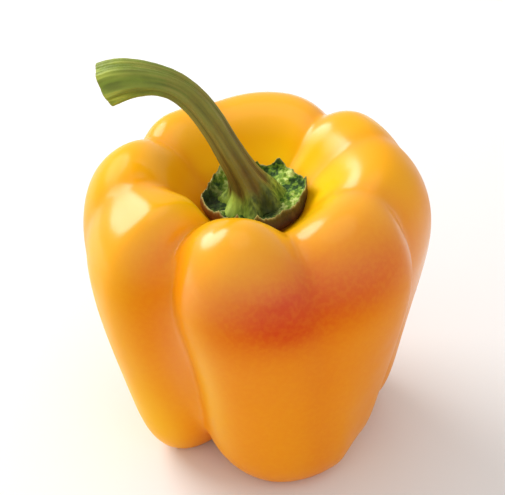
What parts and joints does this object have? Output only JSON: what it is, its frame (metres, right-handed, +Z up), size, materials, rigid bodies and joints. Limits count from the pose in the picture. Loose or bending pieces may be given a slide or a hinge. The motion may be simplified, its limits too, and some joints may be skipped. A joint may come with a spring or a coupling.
{
  "type": "bell pepper",
  "caption": "Whole blocky bell pepper with deep furrows, a sunken toothed green calyx and a curved ridged stalk. It stands upright on the feet of its lobes.",
  "frame": {"origin": "on the surface that the pepper stands on, at the middle of its bounding box seen from above", "axes": "+Z up, along the fruit's height. -Y is the side that faces the viewer, and the stalk bends towards -X"},
  "size_m": [0.0902, 0.0862, 0.111],
  "materials": {
    "fruit_skin": "waxy gloss, yellow shading to orange",
    "calyx_green": "dull, dry and mottled green",
    "stalk_green": "satin, finely ridged, green shading to brown at the foot"
  },
  "bodies": {
    "root": {"fruit": "fruit_skin", "calyx": "calyx_green", "stem": "stalk_green"}
  },
  "joints": []
}
